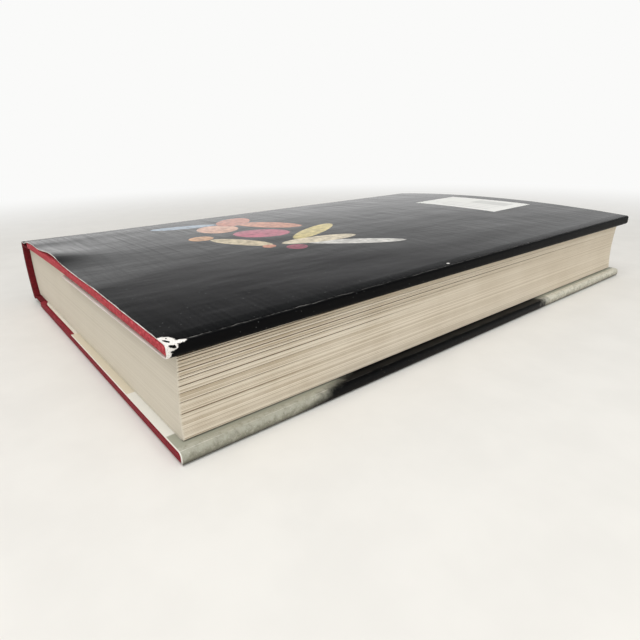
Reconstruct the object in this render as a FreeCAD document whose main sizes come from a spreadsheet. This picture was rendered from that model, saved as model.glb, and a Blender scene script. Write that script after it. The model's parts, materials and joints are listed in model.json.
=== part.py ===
import FreeCAD, Part
import math
import os
import Sketcher

# A case-bound book in a paper jacket, lying on its front cover.
# Sketches lie across the book: x runs from the fore-edge to the spine, z up from the table.
# Y runs along the spine with the head at +Y, and z = 0 is the outer face of the front cover.

doc = FreeCAD.newDocument("hardback_book")
sheet = doc.addObject("Spreadsheet::Sheet", "Sizes")

SIZES = [
    ("book_height", 240.0, "boards with their cloth, and the jacket, from head to tail"),
    ("head_square", 2.5, "how far the covers pass the pages at the head and at the tail"),
    ("fore_square", 3.1, "how far the boards pass the pages at the fore-edge"),
    ("block_width", 156.0, "pages, from the fore-edge to the spine fold"),
    ("block_thick", 22.4, "all the pages pressed together"),
    ("sections", 16, "folded sections in the block"),
    ("back_round", 2.0, "how far the rounded back stands out at its middle"),
    ("fore_hollow", 0.7, "how far the fore-edge is hollowed at its middle"),
    ("notch_depth", 0.45, "groove between two sections"),
    ("notch_width", 0.22, "mouth of that groove"),
    ("leaf_thick", 0.15, "endpaper"),
    ("page_gap", 0.05, "air between the flyleaf and the jacket flap"),
    ("layer_gap", 0.05, "air between two curved layers"),
    ("paste_thick", 0.15, "endpaper half pasted to the board"),
    ("paste_margin", 3.0, "turned-in cloth left bare around the pasted half"),
    ("cloth_thick", 0.35, "covering cloth"),
    ("turn_in", 15.0, "cloth turned in around the board"),
    ("board_thick", 2.2, "cover board"),
    ("joint_gap", 11.1, "from the spine edge of a board to the fold of the pages"),
    ("swing_gap", 0.4, "clearance at a joint between what swings and what stays"),
    ("jacket_thick", 0.2, "jacket paper with its film"),
    ("front_flap", 94.0, "jacket flap inside the front cover"),
    ("back_flap", 90.0, "jacket flap inside the back cover"),
    ("fold_round", 1.05, "outer radius of the jacket's fore-edge folds"),
    ("lining_thick", 0.25, "open-weave lining glued on the back"),
    ("lining_short", 12.0, "how far the lining stops short of the ends of the pages"),
    ("spine_hollow", 0.4, "air between the lining and the spine strip"),
    ("inlay_thick", 1.2, "card strip that stiffens the spine"),
    ("inlay_short", 5.0, "how far the card strip stops short of the ends of the cloth"),
    ("shoulder_drop", 1.6, "how far the card strip's edge lies below the boards' faces"),
    ("shoulder_round", 1.2, "rounding of the spine's shoulders"),
    ("joint_foot", 1.9, "where the cloth leaves the pressed joint, before the fold"),
    ("jacket_dip", 0.6, "sag of the jacket over the joints"),
    ("bow_head", 1.0, "rise of the back cover's middle at the head"),
    ("bow_tail", 3.0, "rise of the back cover's middle at the tail"),
    ("fore_lift", 0.5, "rise of the back cover's fore-edge at the tail"),
    ("joint_lift", 1.4, "rise of the back cover's spine edge at the tail"),
]
for row, (name, value, note) in enumerate(SIZES, start=1):
    sheet.set(f"A{row}", name)
    sheet.set(f"B{row}", str(value))
    sheet.setAlias(f"B{row}", name)
    sheet.set(f"C{row}", note)
doc.recompute()

# Levels, measured outward from the middle of the pages, the same for both covers
LAYERS = [
    ("pages", "Sizes.block_thick / 2"),
    ("leaf", "Sizes.leaf_thick"),
    ("flap_in", "Sizes.page_gap"),
    ("flap_out", "Sizes.jacket_thick"),
    ("paste_in", "Sizes.layer_gap"),
    ("paste_out", "Sizes.paste_thick"),
    ("turn_in", "Sizes.layer_gap"),
    ("board_in", "Sizes.cloth_thick"),
    ("board_out", "Sizes.board_thick"),
    ("cloth_out", "Sizes.cloth_thick"),
    ("jacket_in", "Sizes.layer_gap"),
    ("jacket_out", "Sizes.jacket_thick"),
]
LEVEL = {}
reached = "0"
for name, step in LAYERS:
    reached = f"{reached} + {step}"
    LEVEL[name] = f"({reached})"
LEVEL["fold"] = f"({LEVEL['leaf']} + Sizes.leaf_thick)"
LEVEL["wing_in"] = f"({LEVEL['fold']} + Sizes.lining_thick)"
LEVEL["wing_out"] = f"({LEVEL['wing_in']} + Sizes.cloth_thick)"
LEVEL["inlay_end"] = f"({LEVEL['board_out']} - Sizes.shoulder_drop)"
LEVEL["plug"] = f"({LEVEL['board_in']} - Sizes.layer_gap)"
LEVEL["board_middle"] = f"({LEVEL['board_in']} + Sizes.board_thick / 2)"
MIDDLE = LEVEL["jacket_out"]

# Stations across the book, from the outer face of the jacket's fore-edge fold
CLOTH_FORE = "(Sizes.jacket_thick + Sizes.layer_gap)"
BOARD_FORE = f"({CLOTH_FORE} + Sizes.cloth_thick)"
PAGES_FORE = f"({BOARD_FORE} + Sizes.fore_square)"
FOLD = f"({PAGES_FORE} + Sizes.block_width)"
BOARD_SPINE = f"({FOLD} - Sizes.joint_gap)"
CLOTH_SPINE = f"({BOARD_SPINE} + Sizes.cloth_thick)"
TURN_IN_EDGE = f"({CLOTH_FORE} + Sizes.turn_in)"
PASTE_EDGE = f"({CLOTH_FORE} + Sizes.paste_margin)"
BLOCK_HEIGHT = "(Sizes.book_height - 2 * Sizes.head_square)"

# The back is a round of this radius, and every layer of the spine is concentric with it
BACK_RADIUS = "((Sizes.block_thick^2 / 4 + Sizes.back_round^2) / (2 * Sizes.back_round))"
BACK_CENTRE = f"({FOLD} + Sizes.back_round - {BACK_RADIUS})"
FORE_RADIUS = "((Sizes.block_thick^2 / 4 + Sizes.fore_hollow^2) / (2 * Sizes.fore_hollow))"
FORE_CENTRE = f"({PAGES_FORE} + Sizes.fore_hollow - {FORE_RADIUS})"
LINING_IN = "Sizes.layer_gap"
LINING_OUT = f"({LINING_IN} + Sizes.lining_thick)"
INLAY_IN = f"({LINING_OUT} + Sizes.spine_hollow)"
INLAY_OUT = f"({INLAY_IN} + Sizes.inlay_thick)"
SPINE_CLOTH_OUT = f"({INLAY_OUT} + Sizes.cloth_thick)"
SPINE_JACKET_IN = f"({SPINE_CLOTH_OUT} + Sizes.layer_gap)"
SPINE_JACKET_OUT = f"({SPINE_JACKET_IN} + Sizes.jacket_thick)"
BOOK_WIDTH = f"({FOLD} + Sizes.back_round + {SPINE_JACKET_OUT})"

# Radius about a cover's fold line that the swinging board keeps outside of
SWEEP = "(Sizes.joint_gap - Sizes.cloth_thick)"
QUARTER_TURN = math.sqrt(0.5)
TINY = 1e-6

FRONT, BACK = -1, 1
HEAD, TAIL = "0", "Sizes.book_height"


def number(expression):
    return float(sheet.evalExpression(expression))


def rise(x, inset):
    """Rise of the warped back cover at station x and at a distance inset from the head."""
    down = f"(({inset}) / Sizes.book_height)"
    across = f"(({x}) / {CLOTH_SPINE})"
    bow = f"(Sizes.bow_head + (Sizes.bow_tail - Sizes.bow_head) * {down})"
    ends = f"{down} * (Sizes.fore_lift * (1 - {across}) + Sizes.joint_lift * {across})"
    return f"({ends} + 4 * {bow} * {across} * (1 - {across}))"


def flat_height(side, level):
    return f"({MIDDLE} + {side} * {level})"


def cover_height(side, layer, x, inset):
    """Height of a layer of a cover: the front cover lies flat, the back cover is warped."""
    flat = flat_height(side, LEVEL[layer])
    return flat if side == FRONT else f"({flat} + {rise(x, inset)})"


def along_cover(side, layer, start, stop, inset):
    """Corner at start on a layer whose edge runs on to stop, bent with the cover."""
    corner = (start, cover_height(side, layer, start, inset))
    if side == FRONT:
        return corner
    halfway = f"(({start} + {stop}) / 2)"
    return corner + (halfway, cover_height(side, layer, halfway, inset))


def across_spine(offset, half):
    """Station of the face that lies offset outside the back, at a level half from the middle."""
    return f"({BACK_CENTRE} + sqrt(({BACK_RADIUS} + {offset})^2 - ({half})^2))"


def strip_reach(height):
    """How far a strip fixed to the spine may reach from the fold, at a height over it."""
    return f"sqrt(({SWEEP} - Sizes.swing_gap)^2 - ({height})^2)"


def cover_reach(height):
    """How near to the fold a swinging layer may reach, at a height over it."""
    return f"sqrt({SWEEP}^2 - ({height})^2)"


def make_body(label):
    """A body shifted so that the middle of the book is at x = 0."""
    body = doc.addObject("PartDesign::Body", label)
    body.Label = label
    body.setExpression("Placement.Base.x", f"-{BOOK_WIDTH} / 2")
    return body


def origin_part(body, role):
    return next(item for item in body.Origin.OriginFeatures if item.Role == role)


def draw(body, name, corners):
    """Closed outline across the book. A corner is (x, z); where it has a second pair, the
    edge that leaves it is an arc through that point."""
    sketch = body.newObject("Sketcher::SketchObject", name)
    sketch.AttachmentSupport = [(origin_part(body, "XZ_Plane"), "")]
    sketch.MapMode = "FlatFace"
    ends = []
    for index, corner in enumerate(corners):
        following = corners[(index + 1) % len(corners)]
        start = FreeCAD.Vector(number(corner[0]), number(corner[1]), 0)
        stop = FreeCAD.Vector(number(following[0]), number(following[1]), 0)
        first, last = 1, 2
        if len(corner) == 2:
            edge = sketch.addGeometry(Part.LineSegment(start, stop), False)
        else:
            through = FreeCAD.Vector(number(corner[2]), number(corner[3]), 0)
            edge = sketch.addGeometry(Part.Arc(start, through, stop), False)
            if sketch.getPoint(edge, 2).isEqual(start, TINY):
                first, last = 2, 1
            point = sketch.addGeometry(Part.Point(through), True)
            place(sketch, point, 1, corner[2], corner[3])
            sketch.addConstraint(Sketcher.Constraint("PointOnObject", point, 1, edge))
        place(sketch, edge, first, corner[0], corner[1])
        ends.append((edge, first, last))
    for index, (edge, first, last) in enumerate(ends):
        next_edge, next_first, next_last = ends[(index + 1) % len(ends)]
        sketch.addConstraint(Sketcher.Constraint("Coincident", edge, last, next_edge, next_first))
    return sketch


def place(sketch, edge, vertex, x, z):
    """Holds a vertex at a station and a height."""
    for direction, expression in (("DistanceX", x), ("DistanceY", z)):
        held = Sketcher.Constraint(direction, -1, 1, edge, vertex, number(expression))
        index = sketch.addConstraint(held)
        sketch.setExpression(f"Constraints[{index}]", expression)


def add_slab(body, name, corners, length, kind="PartDesign::Pad"):
    """Extrudes an outline by equal amounts towards the head and the tail."""
    sketch = draw(body, f"{name}_outline", corners)
    feature = body.newObject(kind, name)
    feature.Profile = (sketch, [""])
    feature.SideType = "Symmetric"
    feature.setExpression("Length", length)
    return feature


def add_loft(body, name, corners_at, first, last, kind="PartDesign::AdditiveLoft"):
    """Joins the outline at a distance first from the head to the one at last."""
    outlines = []
    for place_name, inset in (("head", first), ("tail", last)):
        sketch = draw(body, f"{name}_{place_name}", corners_at(inset))
        sketch.setExpression("AttachmentOffset.Base.z", f"{inset} - Sizes.book_height / 2")
        outlines.append(sketch)
    feature = body.newObject(kind, name)
    feature.Profile = (outlines[0], [""])
    feature.Sections = [(outlines[1], [""])]
    feature.Ruled = True
    return feature


# Pages

def section_notches(body, name, centre, radius, inward):
    """Grooves between the folded sections, in a fan about the middle of a rounded edge."""
    turn = f"(Sizes.block_thick / Sizes.sections / {radius})"
    bottom = f"({radius} + {inward} * Sizes.notch_depth)"
    mouth = f"({radius} - {inward} * Sizes.notch_depth)"
    corners = [
        (mouth, "-Sizes.notch_width"),
        (mouth, "Sizes.notch_width"),
        (bottom, "0"),
    ]
    sketch = draw(body, f"{name}_outline", corners)
    first_turn = f"-{turn} * (Sizes.sections / 2 - 1) * 180deg / pi"
    sketch.AttachmentOffset = FreeCAD.Placement(
        FreeCAD.Vector(number(centre), number(MIDDLE), 0), FreeCAD.Rotation(FreeCAD.Vector(0, 0, 1), 1)
    )
    sketch.setExpression("AttachmentOffset.Base.x", centre)
    sketch.setExpression("AttachmentOffset.Base.y", MIDDLE)
    sketch.setExpression("AttachmentOffset.Rotation.Angle", first_turn)
    notch = body.newObject("PartDesign::Pocket", name)
    notch.Profile = (sketch, [""])
    notch.SideType = "Symmetric"
    notch.setExpression("Length", "Sizes.book_height")
    doc.recompute()
    fan = body.newObject("PartDesign::PolarPattern", f"{name}_fan")
    fan.Originals = [notch]
    fan.Axis = (sketch, ["N_Axis"])
    fan.setExpression("Occurrences", "Sizes.sections - 1")
    fan.setExpression("Angle", f"{turn} * (Sizes.sections - 2) * 180deg / pi")
    body.Tip = fan
    doc.recompute()
    return fan


def make_text_block():
    body = make_body("text_block")
    top = flat_height(BACK, LEVEL["pages"])
    bottom = flat_height(FRONT, LEVEL["pages"])
    corners = [
        (PAGES_FORE, bottom),
        (FOLD, bottom, f"({FOLD} + Sizes.back_round)", MIDDLE),
        (FOLD, top),
        (PAGES_FORE, top, f"({PAGES_FORE} + Sizes.fore_hollow)", MIDDLE),
    ]
    add_slab(body, "pages", corners, BLOCK_HEIGHT)
    section_notches(body, "back_notches", BACK_CENTRE, BACK_RADIUS, -1)
    section_notches(body, "fore_notches", FORE_CENTRE, FORE_RADIUS, 1)
    return body


def make_endpaper(side, label):
    """Flyleaf over the pages, folded at the spine into the strip under the joint."""
    body = make_body(label)
    start = f"({FOLD} - {strip_reach('Sizes.leaf_thick')})"
    corners = [
        (PAGES_FORE, flat_height(side, LEVEL["pages"])),
        (FOLD, flat_height(side, LEVEL["pages"])),
        (FOLD, flat_height(side, LEVEL["fold"])),
        (start, flat_height(side, LEVEL["fold"])),
        (start, flat_height(side, LEVEL["leaf"])),
        (PAGES_FORE, flat_height(side, LEVEL["leaf"])),
    ]
    add_slab(body, "leaf", corners, BLOCK_HEIGHT)
    return body


# Spine

# Where the cloth has come up out of a joint and the edge of the spine begins
SPINE_RIM = f"({across_spine(INLAY_IN, LEVEL['inlay_end'])} - Sizes.cloth_thick / 2)"


def reverse_edges(corners):
    """The same open chain of edges, walked from its other end."""
    backwards = []
    for index in range(len(corners) - 1, -1, -1):
        through = corners[index - 1][2:] if index else ()
        backwards.append(corners[index][:2] + through)
    return backwards


def make_lining():
    """Lining on the rounded back, with wings that run out under both joints."""
    body = make_body("spine_lining")
    start = f"({FOLD} - {strip_reach('Sizes.leaf_thick + Sizes.lining_thick')})"
    inner, outer = f"({FOLD} + {LINING_IN})", f"({FOLD} + {LINING_OUT})"
    fold, wing, pages = LEVEL["fold"], LEVEL["wing_in"], LEVEL["pages"]
    corners = [
        (start, flat_height(BACK, wing)),
        (outer, flat_height(BACK, wing)),
        (outer, flat_height(BACK, pages), f"({outer} + Sizes.back_round)", MIDDLE),
        (outer, flat_height(FRONT, pages)),
        (outer, flat_height(FRONT, wing)),
        (start, flat_height(FRONT, wing)),
        (start, flat_height(FRONT, fold)),
        (inner, flat_height(FRONT, fold)),
        (inner, flat_height(FRONT, pages), f"({inner} + Sizes.back_round)", MIDDLE),
        (inner, flat_height(BACK, pages)),
        (inner, flat_height(BACK, fold)),
        (start, flat_height(BACK, fold)),
    ]
    add_slab(body, "lining", corners, f"({BLOCK_HEIGHT} - 2 * Sizes.lining_short)")
    return body


def make_inlay():
    body = make_body("spine_inlay")
    end = LEVEL["inlay_end"]
    inner, outer = across_spine(INLAY_IN, end), across_spine(INLAY_OUT, end)
    corners = [
        (outer, flat_height(BACK, end), across_spine(INLAY_OUT, "0"), MIDDLE),
        (outer, flat_height(FRONT, end)),
        (inner, flat_height(FRONT, end), across_spine(INLAY_IN, "0"), MIDDLE),
        (inner, flat_height(BACK, end)),
    ]
    add_slab(body, "inlay", corners, "(Sizes.book_height - 2 * Sizes.inlay_short)")
    return body


def rounded_shoulder(offset, crest, side):
    """Crest and side corner of a spine shoulder: where its rounding starts and where it
    meets the round of the spine."""
    half = f"({LEVEL['inlay_end']} - Sizes.shoulder_round / 2)"
    far = across_spine(offset, half)
    near = f"({far} - Sizes.shoulder_round)"
    through_x = f"({near} + {QUARTER_TURN} * ({far} - {near}))"
    through_z = flat_height(side, f"({half} + {QUARTER_TURN} * ({crest} - {half}))")
    return near, far, half, through_x, through_z


def band_face(offset, crest, end_corners):
    """One face of a layer round the spine, as an open chain from its back end to its front
    end: out to a shoulder, over the round of the spine, and the same on the other side."""
    def half_face(side):
        near, far, half, through_x, through_z = rounded_shoulder(offset, crest, side)
        shoulder = [
            (near, flat_height(side, crest), through_x, through_z),
            (far, flat_height(side, half)),
        ]
        return end_corners(side) + shoulder

    back = half_face(BACK)
    back[-1] += (across_spine(offset, "0"), MIDDLE)
    return back + reverse_edges(half_face(FRONT))


def make_spine_cloth():
    """Cloth over the spine strip, pressed down into a joint at each side."""
    body = make_body("spine_cloth")
    wing_height = f"({LEVEL['wing_out']} - {LEVEL['leaf']})"
    start = f"({FOLD} - {strip_reach(wing_height)})"
    end = LEVEL["inlay_end"]
    foot = f"({FOLD} - Sizes.joint_foot)"
    rim = across_spine(INLAY_IN, end)

    def outer_ends(side):
        return [
            (start, flat_height(side, LEVEL["wing_out"])),
            (f"({foot} - Sizes.cloth_thick / 2)", flat_height(side, LEVEL["wing_out"])),
            (SPINE_RIM, flat_height(side, f"({end} + Sizes.cloth_thick)")),
        ]

    def inner_ends(side):
        return [
            (start, flat_height(side, LEVEL["wing_in"])),
            (foot, flat_height(side, LEVEL["wing_in"])),
            (rim, flat_height(side, end)),
        ]

    outside = band_face(SPINE_CLOTH_OUT, f"({end} + Sizes.cloth_thick)", outer_ends)
    corner = across_spine(INLAY_OUT, end)
    inside = [
        *inner_ends(FRONT),
        (corner, flat_height(FRONT, end), across_spine(INLAY_OUT, "0"), MIDDLE),
        (corner, flat_height(BACK, end)),
        *inner_ends(BACK)[::-1],
    ]
    add_slab(body, "cloth", outside + inside, "Sizes.book_height")
    return body


def make_jacket_spine():
    """Jacket over the spine and across both joints, up to the swinging panels."""
    body = make_body("jacket_spine")

    def face_at(inset, layer, offset):
        crest = f"({LEVEL['inlay_end']} + {offset} - {INLAY_OUT})"

        def strip_end(side):
            lift = rise(CLOTH_SPINE, inset) if side == BACK else "0"
            level = f"({LEVEL[layer]} + {lift})"
            height = f"({LEVEL['jacket_out']} + {lift} - {LEVEL['leaf']})"
            start = f"({FOLD} - {strip_reach(height)})"
            sag = f"(({level} + {crest}) / 2 - Sizes.jacket_dip)"
            return [
                (start, flat_height(side, level), f"(({start} + {SPINE_RIM}) / 2)", flat_height(side, sag)),
                (SPINE_RIM, flat_height(side, crest)),
            ]

        return band_face(offset, crest, strip_end)

    def corners_at(inset):
        outside = face_at(inset, "jacket_out", SPINE_JACKET_OUT)
        inside = face_at(inset, "jacket_in", SPINE_JACKET_IN)
        return outside + reverse_edges(inside)

    add_loft(body, "jacket", corners_at, HEAD, TAIL)
    return body


# Covers

def cover_section(side, low, high, fore, spine):
    """Outline of a flat layer of a cover between two levels and two stations."""
    def corners_at(inset):
        return [
            along_cover(side, low, fore, spine, inset),
            (spine, cover_height(side, low, spine, inset)),
            along_cover(side, high, spine, fore, inset),
            (fore, cover_height(side, high, fore, inset)),
        ]
    return corners_at


def rounded_section(side, low, high, fore, spine, radius):
    """The same outline, with round edges at the fore-edge and at the outer spine edge."""
    reach, rest = f"{QUARTER_TURN} * {radius}", f"{1 - QUARTER_TURN} * {radius}"
    near, far = f"({fore} + {radius})", f"({spine} - {radius})"

    def corners_at(inset):
        outer_far = cover_height(side, high, far, inset)
        outer_near = cover_height(side, high, near, inset)
        inner_near = cover_height(side, low, near, inset)
        outward_far = (f"({far} + {reach})", f"({outer_far} - {side} * {rest})")
        outward_near = (f"({near} - {reach})", f"({outer_near} - {side} * {rest})")
        inward_near = (f"({near} - {reach})", f"({inner_near} + {side} * {rest})")
        return [
            along_cover(side, low, near, spine, inset),
            (spine, cover_height(side, low, spine, inset)),
            (spine, f"({outer_far} - {side} * {radius})", *outward_far),
            along_cover(side, high, far, near, inset),
            (near, outer_near, *outward_near),
            (fore, f"({outer_near} - {side} * {radius})"),
            (fore, f"({inner_near} + {side} * {radius})", *inward_near),
        ]
    return corners_at


def from_ends(distance):
    """The two insets of what starts at a distance from the head and ends so from the tail."""
    return f"({distance})", f"(Sizes.book_height - {distance})"


def make_board(side, label):
    body = make_body(label)
    section = cover_section(side, "board_in", "board_out", BOARD_FORE, BOARD_SPINE)
    add_loft(body, "board", section, *from_ends("Sizes.cloth_thick"))
    return body


def make_cover_cloth(side, label):
    """Cloth over the outside and the edges of a board, turned in on three sides."""
    body = make_body(label)
    radius = "(Sizes.fold_round - Sizes.jacket_thick - Sizes.layer_gap)"
    outside = rounded_section(side, "turn_in", "cloth_out", CLOTH_FORE, CLOTH_SPINE, radius)
    board = cover_section(side, "board_in", "board_out", BOARD_FORE, BOARD_SPINE)
    window = cover_section(side, "leaf", "board_middle", TURN_IN_EDGE, BOARD_SPINE)
    subtract = "PartDesign::SubtractiveLoft"
    add_loft(body, "wrap", outside, HEAD, TAIL)
    add_loft(body, "board_space", board, *from_ends("Sizes.cloth_thick"), subtract)
    add_loft(body, "window", window, *from_ends("Sizes.turn_in"), subtract)
    return body


def make_pastedown(side, label):
    """Endpaper half on the board: it laps over the turned-in cloth and fills its window."""
    body = make_body(label)
    lap = cover_section(side, "paste_in", "paste_out", PASTE_EDGE, BOARD_SPINE)
    plug = cover_section(side, "paste_in", "plug", TURN_IN_EDGE, BOARD_SPINE)
    add_loft(body, "lap", lap, *from_ends("Sizes.paste_margin"))
    add_loft(body, "plug", plug, *from_ends("Sizes.turn_in"))
    return body


def make_cover_jacket(side, label, flap):
    """Jacket panel over a cover, folded round the fore-edge into a flap that lies flat."""
    body = make_body(label)
    fold = "Sizes.fold_round"
    inner_fold = f"({fold} - Sizes.jacket_thick)"
    near_flap = flat_height(side, f"({LEVEL['flap_in']} + {fold})")
    turn = f"({fold} * {1 - QUARTER_TURN})"
    inner_turn = f"({inner_fold} * {1 - QUARTER_TURN})"
    near_turn = flat_height(side, f"({LEVEL['flap_in']} + {turn})")
    near_inner_turn = flat_height(side, f"({LEVEL['flap_out']} + {inner_turn})")
    inner_x = f"(Sizes.jacket_thick + {inner_turn})"

    def corners_at(inset):
        lift = rise(CLOTH_SPINE, inset) if side == BACK else "0"
        inner_height = f"({LEVEL['jacket_in']} + {lift} - {LEVEL['leaf']})"
        end = f"({FOLD} - {cover_reach(inner_height)})"
        outer = cover_height(side, "jacket_out", fold, inset)
        inner = cover_height(side, "jacket_in", fold, inset)
        return [
            along_cover(side, "jacket_in", end, fold, inset),
            (fold, inner, inner_x, f"({inner} - {side} * {inner_turn})"),
            ("Sizes.jacket_thick", f"({inner} - {side} * {inner_fold})"),
            ("Sizes.jacket_thick", near_flap, inner_x, near_inner_turn),
            (fold, flat_height(side, LEVEL["flap_out"])),
            (flap, flat_height(side, LEVEL["flap_out"])),
            (flap, flat_height(side, LEVEL["flap_in"])),
            (fold, flat_height(side, LEVEL["flap_in"]), turn, near_turn),
            ("0", near_flap),
            ("0", f"({outer} - {side} * {fold})", turn, f"({outer} - {side} * {turn})"),
            along_cover(side, "jacket_out", fold, end, inset),
            (end, cover_height(side, "jacket_out", end, inset)),
        ]

    add_loft(body, "jacket", corners_at, HEAD, TAIL)
    return body


bodies = [
    make_text_block(),
    make_endpaper(FRONT, "front_endpaper"),
    make_endpaper(BACK, "back_endpaper"),
    make_lining(),
    make_inlay(),
    make_spine_cloth(),
    make_jacket_spine(),
]
for side, prefix, flap in ((FRONT, "front", "Sizes.front_flap"), (BACK, "back", "Sizes.back_flap")):
    bodies += [
        make_board(side, f"{prefix}_board"),
        make_cover_cloth(side, f"{prefix}_cloth"),
        make_pastedown(side, f"{prefix}_pastedown"),
        make_cover_jacket(side, f"jacket_{prefix}", flap),
    ]
doc.recompute()

for item in doc.Objects:
    if {"Invalid", "Error"} & set(item.State):
        raise RuntimeError(f"{item.Name} failed: {item.State}")
os.makedirs("parts", exist_ok=True)
for body in bodies:
    shape = body.Shape
    if shape.isNull() or not shape.isValid() or len(shape.Solids) != 1:
        raise RuntimeError(f"{body.Label} is not one valid solid")
    shape.exportStep(f"parts/{body.Label}.step")
    print(f"{body.Label}: {shape.Volume:.0f} cubic mm")
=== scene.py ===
import json
import math
import random

import bpy
from mathutils import Matrix, Vector, noise
from mathutils.bvhtree import BVHTree


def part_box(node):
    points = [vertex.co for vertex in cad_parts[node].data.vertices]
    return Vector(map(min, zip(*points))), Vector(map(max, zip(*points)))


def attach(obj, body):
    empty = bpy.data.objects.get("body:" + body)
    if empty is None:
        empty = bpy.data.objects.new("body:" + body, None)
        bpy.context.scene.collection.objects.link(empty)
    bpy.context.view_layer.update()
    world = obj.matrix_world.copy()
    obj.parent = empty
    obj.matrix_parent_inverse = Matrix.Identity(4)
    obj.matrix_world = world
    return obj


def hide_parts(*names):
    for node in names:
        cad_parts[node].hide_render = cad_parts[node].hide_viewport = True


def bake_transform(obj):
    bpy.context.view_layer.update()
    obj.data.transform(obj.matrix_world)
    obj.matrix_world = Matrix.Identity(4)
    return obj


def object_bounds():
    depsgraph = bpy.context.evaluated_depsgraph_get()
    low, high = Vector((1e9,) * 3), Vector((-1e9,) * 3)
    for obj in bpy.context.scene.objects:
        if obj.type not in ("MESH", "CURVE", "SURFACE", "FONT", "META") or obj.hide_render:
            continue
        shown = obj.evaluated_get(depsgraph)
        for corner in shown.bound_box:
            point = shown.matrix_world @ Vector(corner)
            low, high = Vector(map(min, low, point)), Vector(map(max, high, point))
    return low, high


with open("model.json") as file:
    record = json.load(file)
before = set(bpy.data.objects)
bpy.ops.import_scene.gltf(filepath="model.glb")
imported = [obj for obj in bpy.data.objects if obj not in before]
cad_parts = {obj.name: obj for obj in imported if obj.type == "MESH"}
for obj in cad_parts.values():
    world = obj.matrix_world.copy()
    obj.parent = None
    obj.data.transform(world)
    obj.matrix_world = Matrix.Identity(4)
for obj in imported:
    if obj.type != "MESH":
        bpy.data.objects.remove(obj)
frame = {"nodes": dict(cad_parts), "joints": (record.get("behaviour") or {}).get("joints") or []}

# A hardback in a worn paper jacket, lying face down with its head and fore-edge towards the
# camera. Lengths are metres, in the row frame: x from the fore-edge to the spine, y to the head.

MM = 0.001
BACK, FRONT = 1, -1
CAD_LOW, CAD_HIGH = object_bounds()

# Places read from the solids

FOLDS = {joint["child"]: Vector(joint["pos_m"]) for joint in frame["joints"]}
FOLD_X = FOLDS["back_cover"].x
MIDDLE_Z = (FOLDS["back_cover"].z + FOLDS["front_cover"].z) / 2
FORE_X, TAIL_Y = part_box("jacket_back")[0].xy
HEAD_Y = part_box("jacket_back")[1].y
BOARD_END_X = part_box("back_cloth")[1].x
PANEL_LEVEL = MIDDLE_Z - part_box("jacket_front")[0].z
FLAP_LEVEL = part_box("jacket_front")[1].z
CLOTH_LEVEL = MIDDLE_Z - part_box("front_cloth")[0].z
TURN_IN_LEVEL = MIDDLE_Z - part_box("front_cloth")[1].z
PASTE_LEVEL = MIDDLE_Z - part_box("front_pastedown")[1].z
PAGES_LOW, PAGES_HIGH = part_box("text_block")
LEAF_LOW, LEAF_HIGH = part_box("back_endpaper")
BACK_ROUND = PAGES_HIGH.x - FOLD_X
PAGES_HALF = (PAGES_HIGH.z - PAGES_LOW.z) / 2
BACK_RADIUS = (PAGES_HALF ** 2 + BACK_ROUND ** 2) / (2 * BACK_ROUND)
BACK_CENTRE_X = PAGES_HIGH.x - BACK_RADIUS

FLAP_WIDTH = {FRONT: 94 * MM, BACK: 90 * MM}
FOLD_ROUND = 1.05 * MM
JACKET_THICK = 0.2 * MM
CLOTH_THICK = 0.35 * MM
LEAF_THICK = 0.12 * MM


def height_over(node):
    """A function that gives the height of a CAD node's top at (x, y)."""
    mesh = frame["nodes"][node].data
    tree = BVHTree.FromPolygons([v.co for v in mesh.vertices], [p.vertices for p in mesh.polygons])
    return lambda x, y: tree.ray_cast(Vector((x, y, 1.0)), Vector((0, 0, -1)))[0].z


# Stations at which the back cover's rise is measured
WARP_STATIONS = (FORE_X + 1.3 * FOLD_ROUND, (FORE_X + BOARD_END_X) / 2, BOARD_END_X)


def measured_warp():
    """Rise of the back cover at its three stations, at the head and at the tail."""
    height = height_over("jacket_back")
    inset = 0.5 * MM
    ends = (HEAD_Y - inset, TAIL_Y + inset)
    return [[height(x, y) - PANEL_LEVEL - MIDDLE_Z for x in WARP_STATIONS] for y in ends]


WARP = measured_warp()
CREST_LEVEL = height_over("jacket_spine")(FOLD_X + 0.2 * MM, HEAD_Y - 0.5 * MM) - MIDDLE_Z


def warp(x, y):
    """Rise of the back cover at (x, y): a bow through its stations, growing to the tail."""
    down = (HEAD_Y - y) / (HEAD_Y - TAIL_Y)
    first, middle, last = (h + (t - h) * down for h, t in zip(*WARP))
    a, b, c = WARP_STATIONS
    x = min(x, c + 3 * MM)
    part = first * (x - b) * (x - c) / ((a - b) * (a - c))
    part += middle * (x - a) * (x - c) / ((b - a) * (b - c))
    return part + last * (x - a) * (x - b) / ((c - a) * (c - b))


def smooth(t):
    """0 up to t = 0, 1 from t = 1, smooth in between."""
    t = min(max(t, 0.0), 1.0)
    return t * t * (3 - 2 * t)


def spread(start, stop, count):
    """Evenly spaced values, with both ends."""
    return [start + (stop - start) * i / (count - 1) for i in range(count)]


def bump(x, centre, width):
    return math.exp(-((x - centre) / width) ** 2)


def rough(x, y, z, seed):
    """Smooth noise from -1 to 1, at points in units of the wanted size."""
    return noise.noise(Vector((x + seed * 17.3, y - seed * 9.1, z + seed * 4.7)))


# Sheets of paper and cloth

# A sheet's own coordinates, in millimetres along its line and from the head, are kept in its
# UV map as SHEET_SHIFT plus themselves over SHEET_UNIT. On the jacket's covers the first counts
# from the middle of the outer round of the fore-edge fold.
SHEET_UNIT = 300.0
SHEET_SHIFT = (0.45, 0.05)


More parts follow.
